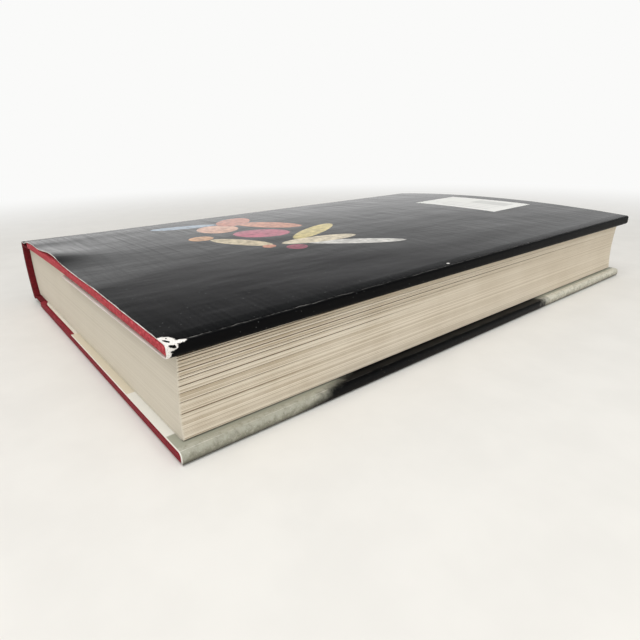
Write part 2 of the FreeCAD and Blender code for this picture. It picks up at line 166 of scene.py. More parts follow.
def add_mesh(name, points, faces, kinds, materials, sheet=None):
    """A mesh object. kinds gives each face's material; sheet gives each point's place on the
    flat sheet. Edges between faces of different materials are sharp."""
    mesh = bpy.data.meshes.new(name)
    mesh.from_pydata(points, [], faces)
    for material in materials:
        mesh.materials.append(material)
    mesh.polygons.foreach_set("material_index", kinds)
    mesh.polygons.foreach_set("use_smooth", [True] * len(faces))
    if sheet:
        layer = mesh.uv_layers.new(name="sheet")
        for loop in mesh.loops:
            s, t = sheet[loop.vertex_index]
            layer.data[loop.index].uv = (SHEET_SHIFT[0] + s / SHEET_UNIT, SHEET_SHIFT[1] + t / SHEET_UNIT)
    kinds_at_edge = {}
    for polygon in mesh.polygons:
        for key in polygon.edge_keys:
            kinds_at_edge.setdefault(key, set()).add(polygon.material_index)
    sharp = mesh.attributes.new("sharp_edge", "BOOLEAN", "EDGE")
    for edge in mesh.edges:
        sharp.data[edge.index].value = len(kinds_at_edge.get(edge.key, ())) > 1
    mesh.update()
    piece = bpy.data.objects.new(name, mesh)
    bpy.context.scene.collection.objects.link(piece)
    return piece


def grid_normals(grid, flip):
    """Unit normals of a grid of points."""
    rows, columns = len(grid), len(grid[0])
    normals = []
    for j in range(rows):
        line = []
        for i in range(columns):
            along = grid[j][min(i + 1, columns - 1)] - grid[j][max(i - 1, 0)]
            down = grid[min(j + 1, rows - 1)][i] - grid[max(j - 1, 0)][i]
            line.append(along.cross(down).normalized() * flip)
        normals.append(line)
    return normals


def sheet_faces(rows, columns):
    """Faces of a sheet, each with its kind: 0 on the first side, 1 on the other, whose points
    follow those of the first, and 2 on the cut edges."""
    size = rows * columns
    faces = []
    for j in range(rows - 1):
        for i in range(columns - 1):
            a, b = j * columns + i, (j + 1) * columns + i
            faces.append(((a, a + 1, b + 1, b), 0))
            faces.append(((size + a, size + b, size + b + 1, size + a + 1), 1))
    for i in range(columns - 1):
        a, b = i, (rows - 1) * columns + i
        faces.append(((a, size + a, size + a + 1, a + 1), 2))
        faces.append(((b, b + 1, size + b + 1, size + b), 2))
    for j in range(rows - 1):
        a, b = j * columns, (j + 1) * columns
        faces.append(((a, b, size + b, size + a), 2))
        a, b = a + columns - 1, b + columns - 1
        faces.append(((a, size + a, size + b, b), 2))
    return faces


def make_sheet(name, grid, places, thickness, materials, flip=1, under=None):
    """A sheet with thickness. grid holds its printed face, row by row from the head to the
    tail, and places each point's place on the flat sheet. The materials are those of the
    printed face, the other face and the cut edges. under gives the other face's points where
    they don't lie straight under the first."""
    outer = [point for line in grid for point in line]
    if under:
        inner = [point for line in under for point in line]
    else:
        normals = grid_normals(grid, flip)
        inner = [p - n * thickness for line, ns in zip(grid, normals) for p, n in zip(line, ns)]
    sheet = [place for line in places for place in line] * 2
    faces, kinds = map(list, zip(*sheet_faces(len(grid), len(grid[0]))))
    if flip < 0:
        faces = [face[::-1] for face in faces]
    return add_mesh(name, outer + inner, faces, kinds, materials, sheet)


def rows_down(fine, coarse):
    """Stations from the head to the tail, close together near both ends."""
    near = 16 * MM
    head = spread(HEAD_Y, HEAD_Y - near, fine)
    body = spread(HEAD_Y - near, TAIL_Y + near, coarse)
    tail = spread(TAIL_Y + near, TAIL_Y, fine)
    return head + body[1:-1] + tail


def arc(centre, radius, start, stop, count):
    """Points on an arc, with angles in degrees from the first axis towards the second."""
    angles = [math.radians(a) for a in spread(start, stop, count)]
    return [(centre[0] + radius * math.cos(a), centre[1] + radius * math.sin(a)) for a in angles]


def sheet_places(line, origin_index):
    """Distance along a line of points from one of them, in millimetres."""
    reached = [0.0]
    for a, b in zip(line, line[1:]):
        reached.append(reached[-1] + math.dist(a, b))
    return [(value - reached[origin_index]) / MM for value in reached]


def laid_out(line_at, rows, origin_index=0, own_y=None):
    """Grid of a sheet's points, and their places on the flat sheet. line_at gives its line
    (x, z) at a station y, and own_y a point's y from its x, its index and the station, where
    the rows aren't straight."""
    grid, places = [], []
    for y in rows:
        line = line_at(y)
        ys = [own_y(x, i, y) if own_y else y for i, (x, z) in enumerate(line)]
        grid.append([Vector((x, point_y, z)) for (x, z), point_y in zip(line, ys)])
        places.append([(s, (HEAD_Y - y) / MM) for s in sheet_places(line, origin_index)])
    return grid, places


# Materials

class Look:
    """A node material with a principled shader."""

    def __init__(self, name):
        self.material = bpy.data.materials.new(name)
        self.material.use_nodes = True
        self.tree = self.material.node_tree
        self.shader = next(n for n in self.tree.nodes if n.type == "BSDF_PRINCIPLED")

    def put(self, socket, value):
        if isinstance(value, bpy.types.NodeSocket):
            self.tree.links.new(value, socket)
        elif value is not None:
            socket.default_value = value

    def node(self, kind, settings=(), inputs=(), output=0):
        made = self.tree.nodes.new(kind)
        for key, value in dict(settings).items():
            setattr(made, key, value)
        for key, value in dict(inputs).items():
            self.put(made.inputs[key], value)
        return made.outputs[output]

    def math(self, operation, a, b=None):
        return self.node("ShaderNodeMath", {"operation": operation}, {0: a, 1: b})

    def vector_math(self, operation, a, b=None, output=0):
        return self.node("ShaderNodeVectorMath", {"operation": operation}, {0: a, 1: b}, output)

    def add(self, a, b):
        return self.math("ADD", a, b)

    def times(self, a, b):
        return self.math("MULTIPLY", a, b)

    def blend(self, a, share_a, b, share_b):
        """Sum of two values, each times its share."""
        return self.add(self.times(a, share_a), self.times(b, share_b))

    def opposite(self, mask):
        return self.math("SUBTRACT", 1.0, mask)

    def both(self, a, b):
        return self.math("MINIMUM", a, b)

    def either(self, a, b):
        return self.math("MAXIMUM", a, b)

    def beyond(self, value, low, high):
        """0 up to low, 1 from high, smooth in between; with low over high it falls."""
        limits = {"Value": value, "From Min": low, "From Max": high}
        return self.node("ShaderNodeMapRange", {"interpolation_type": "SMOOTHSTEP"}, limits)

    def within(self, value, low, high, soft):
        rising = self.beyond(value, low - soft, low + soft)
        falling = self.beyond(value, high + soft, high - soft)
        return self.both(rising, falling)

    def mix(self, factor, a, b):
        mixed = self.tree.nodes.new("ShaderNodeMix")
        mixed.data_type = "RGBA"
        self.put(mixed.inputs[0], factor)
        self.put(mixed.inputs[6], rgb(a))
        self.put(mixed.inputs[7], rgb(b))
        return mixed.outputs[2]

    def place(self):
        """Position on the object, in millimetres."""
        coordinates = self.node("ShaderNodeTexCoord", output=3)
        return self.scaled(coordinates, (1 / MM, 1 / MM, 1 / MM))

    def sheet(self):
        """Place on the flat sheet, in millimetres."""
        uv = self.node("ShaderNodeUVMap", {"uv_map": "sheet"})
        shifted = self.vector_math("SUBTRACT", uv, (*SHEET_SHIFT, 0))
        return self.scaled(shifted, (SHEET_UNIT, SHEET_UNIT, SHEET_UNIT))

    def scaled(self, vector, by):
        return self.vector_math("MULTIPLY", vector, by)

    def reach(self, vector):
        """Distance from the origin, looking along z."""
        return self.vector_math("LENGTH", self.scaled(vector, (1, 1, 0)), output=1)

    def parts(self, vector):
        split = self.tree.nodes.new("ShaderNodeSeparateXYZ")
        self.put(split.inputs[0], vector)
        return split.outputs

    def noise(self, vector, scale, detail=3.0, roughness=0.55, stretch=None, output=0):
        if stretch:
            vector = self.scaled(vector, stretch)
        inputs = {"Vector": vector, "Scale": scale, "Detail": detail, "Roughness": roughness}
        return self.node("ShaderNodeTexNoise", {}, inputs, output)

    def bumped(self, height, distance, strength=1.0):
        inputs = {"Height": height, "Distance": distance, "Strength": strength}
        normal = self.node("ShaderNodeBump", {}, inputs)
        self.put(self.shader.inputs["Normal"], normal)

    def finish(self, colour, roughness, **plain):
        """Sets the shader's sockets; plain ones are given by name with _ for a space."""
        self.put(self.shader.inputs["Base Color"], rgb(colour))
        self.put(self.shader.inputs["Roughness"], roughness)
        for key, value in plain.items():
            self.shader.inputs[key.replace("_", " ")].default_value = value
        return self.material


def rgb(colour):
    """A colour written as 0 to 255, as a display shows it, or a socket as it is."""
    if not isinstance(colour, tuple):
        return colour
    linear = []
    for value in colour:
        v = value / 255
        linear.append(v / 12.92 if v <= 0.04045 else ((v + 0.055) / 1.055) ** 2.4)
    return (*linear, 1.0)


THREAD_PITCH = 0.42


def cloth_look(name, light, dark, on_sheet=False):
    """Book cloth: a fine weave, rubbed unevenly so that threads catch the light."""
    look = Look(name)
    place = look.sheet() if on_sheet else look.place()
    x, y, z = look.parts(place)[:3]
    threads = 2 * math.pi / THREAD_PITCH
    weft = look.math("SINE", look.times(look.add(x, z), threads))
    warp_thread = look.math("SINE", look.times(y, threads))
    weave = look.times(weft, warp_thread)
    patches = look.noise(place, 0.9, 4.0, 0.65)
    fibres = look.noise(place, 3.5, 5.0, 0.7)
    tone = look.blend(patches, 0.6, fibres, 0.4)
    colour = look.mix(look.beyond(tone, 0.38, 0.66), dark, light)
    look.bumped(look.add(look.times(weave, 0.3), fibres), 0.06 * MM, 0.6)
    return look.finish(colour, 0.8, Specular_IOR_Level=0.2)


def paper_look(name, light, dark, grain=2.2, shine=0.8, on_sheet=False):
    """Uncoated paper: soft fibres and faint clouds."""
    look = Look(name)
    place = look.sheet() if on_sheet else look.place()
    clouds = look.noise(place, 0.05, 4.0)
    fibres = look.noise(place, grain, 6.0, 0.7)
    tone = look.blend(clouds, 0.6, fibres, 0.4)
    look.bumped(fibres, 0.03 * MM, 0.5)
    return look.finish(look.mix(look.beyond(tone, 0.35, 0.65), dark, light), shine)


def board_look():
    """Grey-brown board, pressed in layers."""
    look = Look("board")
    place = look.place()
    layers = look.noise(place, 1.0, 4.0, 0.6, (0.15, 0.15, 4.0))
    specks = look.noise(place, 1.6, 5.0, 0.75)
    tone = look.blend(layers, 0.6, specks, 0.4)
    look.bumped(specks, 0.08 * MM, 0.6)
    return look.finish(look.mix(look.beyond(tone, 0.4, 0.62), (112, 100, 84), (156, 143, 122)), 0.9)


def pages_look():
    """The cut edges of many pages: fine lines that run with the pages, darkened by painted shade in the
    gaps. The sheet coordinates hold how far back a point stands and how far it is from the head."""
    look = Look("pages")
    place = look.place()
    x, y = look.parts(place)[:2]
    fine = look.noise(place, 1.0, 3.0, 0.7, (0.003, 0.004, 5.6))
    coarse = look.noise(place, 1.0, 2.0, 0.5, (0.004, 0.005, 0.8))
    stains = look.noise(place, 0.05, 4.0)
    tone = look.add(look.times(fine, 0.78), look.blend(coarse, 0.05, stains, 0.17))
    on_fore = look.beyond(x, PAGES_LOW.x / MM + 6, PAGES_LOW.x / MM + 1.5)
    off_ends = look.both(
        look.beyond(y, PAGES_HIGH.y / MM - 0.1, PAGES_HIGH.y / MM - 0.7),
        look.beyond(y, PAGES_LOW.y / MM + 0.1, PAGES_LOW.y / MM + 0.7),
    )
    fore = look.both(on_fore, off_ends)
    head = look.mix(look.beyond(tone, 0.3, 0.6), (208, 199, 182), (222, 214, 198))
    fade = look.add(0.4, look.times(look.beyond(y, -20.0, 105.0), 0.6))
    calmed = look.add(0.5, look.times(look.add(tone, -0.5), fade))
    edge = look.mix(look.beyond(calmed, 0.36, 0.6), (172, 154, 127), (232, 222, 204))
    # Painted shade: the pages turn dark brown where they stand 0.1 to 0.4 mm back, in the open gaps.
    depth = look.parts(look.sheet())[0]
    edge = look.mix(look.beyond(depth, 0.1, 0.4), edge, (74, 58, 40))
    look.bumped(fine, 0.08 * MM, look.add(look.times(fore, 0.4), 0.08))
    return look.finish(look.mix(fore, head, edge), 0.85, Specular_IOR_Level=0.25)


def ellipse(look, sheet, centre, radii, turn, soft=0.06):
    """Mask of an ellipse on the sheet, turned by degrees."""
    settings = {"vector_type": "TEXTURE"}
    inputs = {
        "Vector": sheet,
        "Location": (*centre, 0),
        "Rotation": (0, 0, math.radians(turn)),
        "Scale": (*radii, 1),
    }
    local = look.node("ShaderNodeMapping", settings, inputs)
    return look.beyond(look.reach(local), 1 + soft, 1 - soft)


def rectangle(look, sheet, sides, soft):
    """Mask of a rectangle on the sheet, given by its left, right, start and stop."""
    s, t = look.parts(sheet)[:2]
    left, right, start, stop = sides
    return look.both(look.within(s, left, right, soft), look.within(t, start, stop, soft))


# Shapes printed on the back panel: centre and radii in millimetres on the sheet, turn in
# degrees, and colour
LEAVES = [
    ((44, 96), (4, 19), 34, (236, 233, 226)),
    ((57, 88), (5, 16), 12, (240, 226, 196)),
    ((72, 97), (5, 18), -28, (232, 214, 146)),
    ((84, 78), (9, 12), 40, (206, 110, 132)),
    ((100, 92), (7, 17), 62, (226, 158, 128)),
    ((108, 70), (11, 9), 10, (238, 186, 158)),
    ((122, 86), (8, 14), -50, (222, 148, 124)),
    ((126, 62), (5, 15), 20, (168, 186, 204)),
    ((74, 62), (4.5, 14), 64, (232, 214, 178)),
    ((52, 73), (4, 4), 0, (168, 78, 100)),
    ((60, 66), (2.6, 2.6), 0, (222, 150, 120)),
    ((92, 54), (5, 5), 0, (222, 168, 120)),
]


LEAF_SHADE = 0.72


def printed_leaves(look, sheet, ground):
    """Loose leaf and petal shapes in soft colours."""
    drift = look.noise(sheet, 0.09, 3.0)
    shade = look.noise(sheet, 0.35, 4.0, 0.6)
    lit = look.beyond(look.add(shade, look.times(drift, 0.4)), 0.45, 0.95)
    colour = ground
    for centre, radii, turn, tint in LEAVES:
        inside = ellipse(look, sheet, centre, radii, turn, 0.05)
        dark = tuple(int(channel * LEAF_SHADE) for channel in tint)
        colour = look.mix(inside, colour, look.mix(lit, dark, tint))
    return colour


# Left, right, start and stop of the label and of its bars, in millimetres on the sheet
LABEL = (46, 97, 193.5, 229)
LABEL_BARS = [(52, 82, 198, 200), (52, 90, 203, 204.2), (52, 86, 208, 209.2), (52, 74, 213, 223)]


def printed_label(look, sheet, colour):
    """A plain paper label with a few grey bars, near the tail, and its mask."""
    label = rectangle(look, sheet, LABEL, 0.15)
    bars = 0.0
    for bar in LABEL_BARS:
        bars = look.either(bars, rectangle(look, sheet, bar, 0.1))
    face = look.mix(look.times(bars, 0.3), (240, 240, 236), (150, 152, 153))
    return look.mix(label, colour, face), label


# Where the film is rubbed off round the head corner, and islands of it that are left: centre
# and radii in millimetres on the sheet, turn in degrees
BARE_PATCHES = [
    ((1.1, 0.5), (3.1, 2.35), 0),
    ((0.22, 3.2), (0.42, 1.75), 4),
    ((-0.55, 0.6), (1.0, 2.3), 0),
    ((-2.2, 0.2), (1.5, 0.85), 0),
    ((1.9, 96.6), (0.45, 0.6), 0),
]
FILM_ISLANDS = [
    ((1.45, 0.95), (1.05, 0.4), -20),
    ((-0.58, 1.55), (0.36, 0.9), 20),
    ((-1.68, 1.35), (0.2, 0.42), 0),
    ((2.9, 1.5), (0.3, 0.16), 10),
]


def any_of(look, sheet, patches, soft):
    """Mask of all the ellipses in a list."""
    mask = 0.0
    for centre, radii, turn in patches:
        mask = look.either(mask, ellipse(look, sheet, centre, radii, turn, soft))
    return mask


def worn(look, sheet):
    """Where the film is rubbed off: the head corner, the fore-edge fold and odd nicks."""
    s, t = look.parts(sheet)[:2]
    stirred = look.noise(sheet, 1.1, 3.0, 0.6, output=1)
    centred = look.vector_math("SUBTRACT", stirred, (0.5, 0.5, 0.5))
    wavy = look.vector_math("ADD", sheet, look.scaled(centred, (0.8, 0.8, 0)))
    corner = any_of(look, wavy, BARE_PATCHES, 0.08)
    islands = any_of(look, wavy, FILM_ISLANDS, 0.12)
    corner = look.times(corner, look.opposite(islands))
    fold_noise = look.noise(sheet, 1.0, 4.0, 0.7, (1.2, 0.16, 1.0))
    drift = look.noise(sheet, 1.0, 3.0, 0.6, (0.0, 0.12, 1.0))
    wander = look.add(s, look.times(drift, 1.2))
    fold = look.times(look.within(wander, 0.98, 1.02, 0.09), look.beyond(fold_noise, 0.4, 0.62))
    fold = look.times(fold, look.add(0.34, look.times(look.beyond(t, 70.0, 8.0), 0.4)))
    nick_noise = look.noise(sheet, 0.9, 2.0, 0.5)
    nicks = look.times(look.beyond(nick_noise, 0.78, 0.8), look.within(s, -3, 4, 2))
    edge_noise = look.noise(sheet, 1.0, 2.0, 0.5, (0.12, 1.0, 1.0))
    edge = look.times(look.beyond(t, 0.2, 0.05), look.beyond(edge_noise, 0.35, 0.6))
    return look.either(look.either(corner, edge), look.either(fold, nicks))


def back_ground(look, sheet, streaks, on_fold):
    """Print of the back jacket before wear, and the mask of its label."""
    haze = look.noise(sheet, 0.02, 4.0)
    specks = look.beyond(look.noise(sheet, 1.4, 1.0, 0.4), 0.75, 0.775)
    tone = look.blend(haze, 0.6, streaks, 0.4)
    ground = look.mix(look.beyond(tone, 0.4, 0.62), (14, 15, 16), (26, 27, 28))
    ground = look.mix(on_fold, ground, (7, 7, 8))
    ground = look.mix(look.times(specks, 0.25), ground, (150, 152, 150))
    return printed_label(look, sheet, printed_leaves(look, sheet, ground))


def back_print_look(name, shine):
    """Black film-laminated paper with loose printed shapes and a pasted label."""
    look = Look(name)
    sheet = look.sheet()
    s = look.parts(sheet)[0]
    streaks = look.noise(sheet, 1.0, 5.0, 0.7, (0.02, 0.9, 1.0))
    on_fold = look.beyond(s, 1.2, -0.6)
    colour, label = back_ground(look, sheet, streaks, on_fold)
    bare = worn(look, sheet)
    paper = look.noise(sheet, 2.5, 5.0, 0.7)
    bare_colour = look.mix(look.beyond(paper, 0.35, 0.6), (214, 208, 200), (246, 244, 240))
    dull = look.either(bare, look.times(label, 0.6))
    dull = look.either(dull, look.times(on_fold, 0.5))
    gloss = look.add(0.17, look.times(look.beyond(streaks, 0.35, 0.7), 0.1))
    ripple = look.noise(sheet, 0.06, 3.0, 0.5, (1.0, 0.35, 1.0))
    shoulder = look.times(look.beyond(s, -0.5, 5.0), 6.0)
    height = look.add(look.times(streaks, 0.06), look.times(bare, look.add(-1.2, paper)))
    height = look.add(height, look.add(look.times(ripple, 6.0), shoulder))
    look.bumped(height, 0.07 * MM, 0.5)
    roughness = look.add(look.times(dull, 0.5), gloss)
    return look.finish(look.mix(bare, colour, bare_colour), roughness, Specular_IOR_Level=shine)


# Where the turned-in flap starts on the front jacket, where its green stops, and where its
# white changes to cream, in millimetres from the fold
FLAP_START = -5.0
GREEN_STOP = -11.0
CREAM_START = -38.0


def front_field(look, sheet):
    """Mask of the black field, whose smoky near border leans across the fold."""
    s, t = look.parts(sheet)[:2]
    drift = look.noise(sheet, 0.1, 4.0, 0.65)
    smoke = look.noise(sheet, 0.3, 4.0, 0.7)
    strayed = look.blend(drift, 12.0, smoke, 8.0)
    leaned = look.add(t, look.add(look.times(s, 2.2), strayed))
    wandered = look.add(t, strayed)
    return look.both(look.beyond(leaned, 39.5, 52.5), look.beyond(wandered, 179.0, 170.0))


def front_ground(look, sheet, field, mottle_and_shade):
    """Print of the front jacket before wear: green and black, and the flap's own tones."""
    s, t = look.parts(sheet)[:2]
    # The green and black follow this tone, so they carry its painted shade towards the table.
    lit = look.beyond(mottle_and_shade, 0.36, 0.62)
    near = look.mix(lit, (136, 135, 120), (172, 171, 157))
    far = look.mix(lit, (158, 156, 140), (208, 205, 190))
    green = look.mix(look.beyond(t, 60.0, 160.0), near, far)
    black = look.mix(look.beyond(mottle_and_shade, 0.4, 0.7), (5, 5, 6), (11, 12, 13))
    cream = look.beyond(s, CREAM_START, CREAM_START - 0.6)
    flap = look.mix(cream, (226, 224, 216), (214, 204, 182))
    flap_fold = look.mix(field, (158, 158, 143), black)
    flap = look.mix(look.beyond(s, GREEN_STOP, GREEN_STOP - 0.6), flap_fold, flap)
    on_flap = look.beyond(s, FLAP_START, FLAP_START - 0.4)
    return look.mix(on_flap, look.mix(field, green, black), flap)


def front_wear(look, sheet, field):
    """Where the front jacket is rubbed bare: along its green fold and at its head edge."""
    s, t = look.parts(sheet)[:2]
    fold_noise = look.noise(sheet, 1.0, 4.0, 0.7, (1.0, 0.12, 1.0))
    broken = look.times(look.beyond(fold_noise, 0.36, 0.6), 0.6)
    crease = look.times(look.within(s, -3.8, -3.66, 0.1), broken)
    scuffs = look.beyond(look.noise(sheet, 0.8, 5.0, 0.8), 0.6, 0.68)
    scuff = look.times(scuffs, look.within(s, -4.4, 0.6, 0.6))
    rubbed = look.either(crease, look.times(scuff, 0.5))
    on_green = look.opposite(look.times(field, 0.9))
    return look.either(look.times(rubbed, on_green), look.beyond(t, 0.36, 0.14))


def front_print_look():
    """Grey-green paper with a broad black field; painted shade and a painted contact shadow darken its
    fold towards the table.
    """
    look = Look("jacket_front_print")
    sheet = look.sheet()
    s = look.parts(sheet)[0]
    swirl = look.noise(sheet, 0.5, 6.0, 0.75)
    # Painted light and shade on the fold: besides a random swirl, the tone is lighter towards the fold's
    # upper edge and darker towards the table.
    mottle_and_shade = look.blend(swirl, 0.8, look.beyond(s, -0.4, -3.2), 0.16)
    field = front_field(look, sheet)
    bare = front_wear(look, sheet, field)
    colour = look.mix(bare, front_ground(look, sheet, field, mottle_and_shade), (232, 229, 221))
    # Painted contact shadow: the fold turns nearly black where it meets the table.
    floor_contact_shadow = look.both(look.beyond(s, -1.5, 0.1), look.beyond(s, 2.4, 0.9))
    colour = look.mix(look.times(floor_contact_shadow, 0.75), colour, (38, 36, 30))
    look.bumped(look.add(mottle_and_shade, bare), 0.05 * MM, 0.5)
    return look.finish(colour, look.add(0.4, look.times(bare, 0.4)), Specular_IOR_Level=0.08)


def spine_print_look():
    """Plain black film-laminated paper over the spine."""
    look = Look("jacket_spine_print")
    sheet = look.sheet()
    streaks = look.noise(sheet, 1.0, 5.0, 0.7, (0.9, 0.02, 1.0))
    haze = look.noise(sheet, 0.03, 4.0)
    tone = look.blend(streaks, 0.5, haze, 0.5)
    colour = look.mix(look.beyond(tone, 0.4, 0.62), (26, 28, 29), (38, 40, 41))
    t = look.parts(sheet)[1]
    rub = look.noise(sheet, 0.7, 5.0, 0.75)
    ends = look.either(look.beyond(t, 2.4, 0.6), look.beyond(t, 237.6, 239.4))
    bare = look.times(look.beyond(rub, 0.53, 0.66), ends)
    colour = look.mix(bare, colour, (222, 218, 210))
    look.bumped(look.add(streaks, bare), 0.04 * MM, 0.5)
    return look.finish(colour, look.add(0.28, look.times(bare, 0.4)))


# The front cloth is a darker copy of the back one: painted shade on the board that lies on the table.
CLOTHS = {
    BACK: cloth_look("back_case_cloth", (216, 90, 97), (152, 36, 47)),
    FRONT: cloth_look("front_case_cloth", (156, 46, 56), (116, 24, 36)),
}
WHITE_PAPER = paper_look("jacket_paper", (240, 238, 232), (222, 218, 208))
CUT_PAPER = paper_look("jacket_cut_edge", (246, 243, 238), (206, 200, 192), 4.0)
BOARD = board_look()
PAGES = pages_look()
# A darker copy of the case cloth for the spine, its turned-in ends and the joints: painted shade.
SHADED_STRIP_CLOTH = cloth_look("joint_cloth", (128, 30, 38), (92, 16, 24), True)
STRIP_LINING = cloth_look("lining_weave", (222, 216, 203), (196, 188, 172), True)
ENDPAPER = paper_look("endpaper_sheet", (230, 224, 210), (222, 215, 200), on_sheet=True)
BACK_PRINT = back_print_look("jacket_back_print", 0.3)
BACK_FOLD_PRINT = back_print_look("jacket_back_fold_print", 0.05)
FRONT_PRINT = front_print_look()
SPINE_PRINT = spine_print_look()


# Jacket

FLAP_ROUND = 1.4 * MM
SHOULDER_ROUND = 1.2 * MM
JOINT_SAG = 0.6 * MM

# Steps of a jacket line along the flap, round a fold, up the edge, over the panel and across
# the joint, and the index in it of the middle of the fold's outer round
FLAP_STEPS, ROUND_STEPS, EDGE_STEPS, PANEL_STEPS, JOINT_STEPS = 13, 6, 6, 75, 12
UPPER_FOLD = FLAP_STEPS + ROUND_STEPS + EDGE_STEPS + ROUND_STEPS // 2

# How far the front panel is short of the board's ends, in millimetres
PANEL_SHORT = 0.55

# Where the upper jacket's head edge curls up: height, middle from the fore-edge and reach, in
# millimetres
CURLS = [(1.7, 101, 15), (0.35, 136, 9), (0.25, 52, 16)]


def panel_height(side, x, y):
    """Outer face of the jacket over a cover."""
    if side == FRONT:
        return MIDDLE_Z - PANEL_LEVEL
    return MIDDLE_Z + PANEL_LEVEL + warp(x, y) + jacket_lift(x, y)


def jacket_lift(x, y):
    """How far the jacket stands off the board: its head edge curls up near the spine."""
    from_head = (HEAD_Y - y) / MM
    from_fore = (x - FORE_X) / MM
    curl = sum(height * bump(from_fore, middle, reach) for height, middle, reach in CURLS)
    settled = smooth(from_fore / 10) * smooth((150 - from_fore) / 8)
    rippled = 0.10 * rough(from_fore / 14, from_head / 30, 0, 3)
    return (curl * math.exp(-(from_head / 13) ** 1.5) + max(rippled, -0.02)) * settled * MM


def jacket_line(side, y):
    """Printed face of the jacket across a cover, as (x, z) from the flap's end round the
    fore-edge fold, over the panel and the joint to the spine's edge."""
    r, flap_r = FOLD_ROUND, FLAP_ROUND
    flap_z = MIDDLE_Z + side * (MIDDLE_Z - FLAP_LEVEL)
    low = (FORE_X + flap_r, flap_z + side * flap_r)
    high_z = panel_height(side, FORE_X + r, y)
    high = (FORE_X + r, high_z - side * r)
    flap_stations = spread(FORE_X + FLAP_WIDTH[side], FORE_X + flap_r, FLAP_STEPS + 1)
    panel_stations = spread(FORE_X + r, BOARD_END_X, PANEL_STEPS + 1)
    line = [(x, flap_z) for x in flap_stations[:-1]]
    line += arc(low, flap_r, -90 * side, -180 * side, ROUND_STEPS + 1)[:-1]
    line += [(FORE_X, z) for z in spread(low[1], high[1], EDGE_STEPS + 1)[:-1]]
    line += arc(high, r, 180 * side, 90 * side, ROUND_STEPS + 1)[:-1]
    line += [(x, panel_height(side, x, y)) for x in panel_stations]
    end_z, crest_z = line[-1][1], MIDDLE_Z + side * CREST_LEVEL
    for step in range(1, JOINT_STEPS + 1):
        t = step / JOINT_STEPS
        x = BOARD_END_X + (FOLD_X - BOARD_END_X) * t
        sag = side * JOINT_SAG * math.sin(math.pi * t)
        line.append((x, end_z + (crest_z - end_z) * smooth(t) - sag))
    return line


def make_cover_jacket(side, name, node, printed):
    """The jacket over one cover, from its flap to the spine, bending at the joint."""
    def line_at(y):
        return jacket_line(side, y)

    def own_y(x, index, y):
        return y + edge_wander(side, x, index, y)

    grid, places = laid_out(line_at, rows_down(26, 70), UPPER_FOLD, own_y)
    piece = make_sheet(name, grid, places, JACKET_THICK, [printed, WHITE_PAPER, CUT_PAPER], -side)
    if side == BACK:
        dull_fold(piece, len(grid[0]))
    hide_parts(node)
    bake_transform(piece)


def dull_fold(piece, columns):
    """Gives the printed face below the fold's outer round a duller twin of its material."""
    piece.data.materials.append(BACK_FOLD_PRINT)
    printed = [polygon for polygon in piece.data.polygons if polygon.material_index == 0]
    for polygon in printed:
        column = min(vertex % columns for vertex in polygon.vertices)
        if column < UPPER_FOLD:
            polygon.material_index = 3


def edge_wander(side, x, index, y):
    """How far a point of the jacket's line is off its row, so that the cut edges aren't
    straight."""
    near_head = smooth((y - HEAD_Y + 4 * MM) / (4 * MM))
    near_tail = smooth((TAIL_Y + 4 * MM - y) / (4 * MM))
    short = PANEL_SHORT * smooth((index - UPPER_FOLD + 2) / 6) if side == FRONT else 0
    fine = 0.05 * abs(rough(x / MM / 3.2, side, 0, 5))
    broad = 0.1 * abs(rough(x / MM / 17, side, 0, 6))
    return MM * (short + fine + broad) * (near_tail - near_head)


def spine_line(offset, crest):
    """(x, z) over the spine from the back cover's side to the front cover's, on the face that
    lies offset outside the pages' back."""
    radius = BACK_RADIUS + offset
    half = crest - SHOULDER_ROUND
    far_x = BACK_CENTRE_X + math.sqrt(radius ** 2 - half ** 2)
    corner_x = far_x - SHOULDER_ROUND * half / (far_x - BACK_CENTRE_X)
    shoulder = []
    for t in spread(0, 1, 9):
        x = (1 - t) ** 2 * FOLD_X + 2 * t * (1 - t) * corner_x + t * t * far_x
        z = (1 - t) ** 2 * crest + 2 * t * (1 - t) * crest + t * t * half
        shoulder.append((x, z))
    turn = math.degrees(math.asin(half / radius))
    round_back = arc((BACK_CENTRE_X, 0), radius, turn, -turn, 25)[1:-1]
    line = shoulder + round_back + [(x, -z) for x, z in reversed(shoulder)]
    return [(x, MIDDLE_Z + z) for x, z in line]


def make_jacket_spine():
    """The jacket over the spine, between the two joints."""
    line = spine_line(CAD_HIGH.x - PAGES_HIGH.x, CREST_LEVEL)
    grid, places = laid_out(lambda y: line, rows_down(14, 40))
    materials = [SPINE_PRINT, WHITE_PAPER, CUT_PAPER]
    piece = make_sheet("jacket_over_spine", grid, places, JACKET_THICK, materials, -1)
    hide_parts("jacket_spine")
    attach(piece, "book_block")


# Cloth case

# Where the cloth leaves the pressed joint, and where it reaches the edge of the spine
FOOT_X = FOLD_X - 1.9 * MM
RIM_X = FOLD_X - 0.5 * MM

WING_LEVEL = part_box("spine_lining")[1].z - MIDDLE_Z
JOINT_CLOTH_LEVEL = WING_LEVEL + CLOTH_THICK
CLOTH_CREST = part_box("spine_cloth")[1].z - MIDDLE_Z
LEAF_LEVEL = LEAF_HIGH.z - MIDDLE_Z
LINING_THICK = 0.25 * MM
LINING_GAP = 0.05 * MM
WING_THICK = 0.22 * MM

# How much nearer to the board's edges a pasted half reaches than its solid, how much it
# narrows at the joint, and how far the flyleaves stand in from the pages' fore-edge
PASTE_REACH = 1.6 * MM
PASTE_NARROWING = 1.8 * MM
FLYLEAF_IN = {FRONT: 1.5 * MM, BACK: 0.1 * MM}

# Round the covered boards: their rim, their corners, and the insets of the loops on each face
RIM_ROUND = 0.8 * MM
CORNER_ROUND = 1.3 * MM
CLOTH_INSETS = (68, 50, 30, 14, 5, 1.6)


